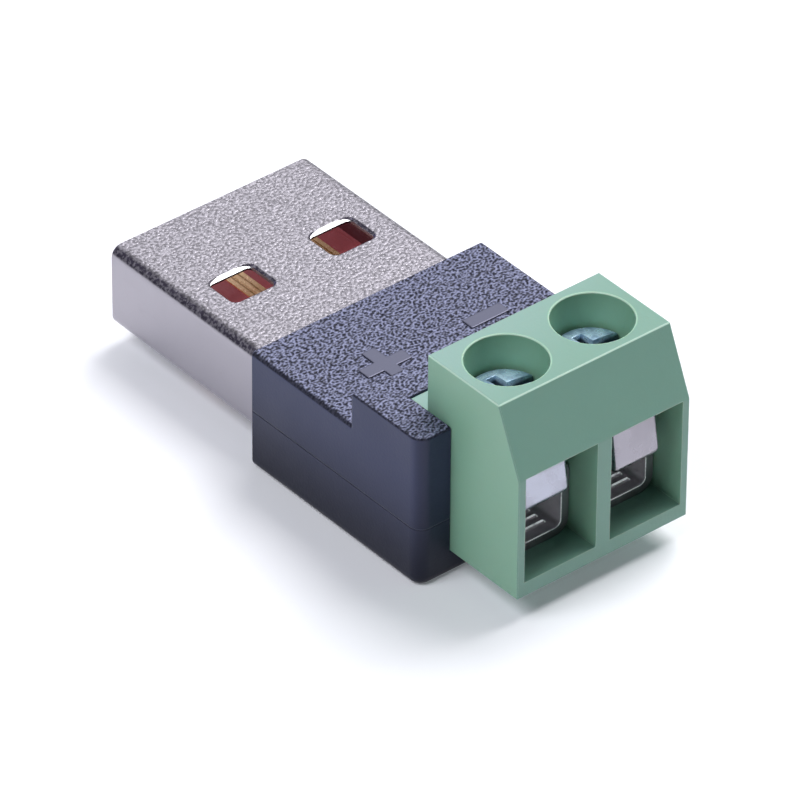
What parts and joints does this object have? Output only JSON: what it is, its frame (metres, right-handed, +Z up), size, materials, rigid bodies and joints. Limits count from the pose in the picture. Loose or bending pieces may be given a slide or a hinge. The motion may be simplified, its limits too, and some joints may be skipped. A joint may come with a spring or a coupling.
{
  "type": "usb terminal block adapter",
  "caption": "Plug with a metal shell, a black two-part housing and a green screw terminal that clamps a pair of bare power leads.",
  "frame": {"origin": "middle of the footprint, on the plane of the housing's flat underside", "axes": "+Y out of the plug's mouth, away from the wire entries; +Z up out of the screw wells; +X to the negative pole's side"},
  "size_m": [0.0138, 0.0286, 0.0115],
  "materials": {
    "shell_steel": "nickel-plated sheet, fine grain on the top, smooth at the sides",
    "carrier_red": "dark red moulded plastic, satin",
    "contact_gold": "gold-plated strip, satin",
    "solder": "bright tin solder",
    "board": "green glass-fibre board",
    "housing_black": "black moulded plastic, spark-textured top, smooth sides",
    "terminal_green": "green moulded plastic, satin",
    "cage_tin": "tinned folded sheet",
    "guard_steel": "bright plated strip",
    "screw_zinc": "bright bluish zinc plating"
  },
  "bodies": {
    "root": {"plug_shell": "shell_steel", "contact_carrier": "carrier_red", "carrier_back": "carrier_red", "contact_vbus": "contact_gold", "contact_data_minus": "contact_gold", "contact_data_plus": "contact_gold", "contact_ground": "contact_gold", "contact_solder": "solder", "cage_solder": "solder", "circuit_board": "board", "housing_bottom": "housing_black", "housing_top": "housing_black", "terminal_body": "terminal_green", "clamp_cage_positive": "cage_tin", "clamp_cage_negative": "cage_tin"},
    "guard_positive": {"wire_guard_positive": "guard_steel"},
    "screw_positive": {"clamp_screw_positive": "screw_zinc"},
    "guard_negative": {"wire_guard_negative": "guard_steel"},
    "screw_negative": {"clamp_screw_negative": "screw_zinc"}
  },
  "joints": [
    {"name": "clamp_positive", "type": "slide", "parent": "root", "child": "guard_positive", "axis": [0, 0, -1], "range_m": [0, 0.00209]},
    {"name": "turn_positive", "type": "hinge", "parent": "guard_positive", "child": "screw_positive", "pos_m": [-0.00254, -0.01035, 0.009], "axis": [0, 0, -1], "range_deg": [0, 1673]},
    {"name": "clamp_negative", "type": "slide", "parent": "root", "child": "guard_negative", "axis": [0, 0, -1], "range_m": [0, 0.00209]},
    {"name": "turn_negative", "type": "hinge", "parent": "guard_negative", "child": "screw_negative", "pos_m": [0.00254, -0.01035, 0.009], "axis": [0, 0, -1], "range_deg": [0, 1673]}
  ],
  "couplings": [
    {"joint": "turn_positive", "follows": "clamp_positive", "rad_per_m": 13963},
    {"joint": "turn_negative", "follows": "clamp_negative", "rad_per_m": 13963}
  ]
}
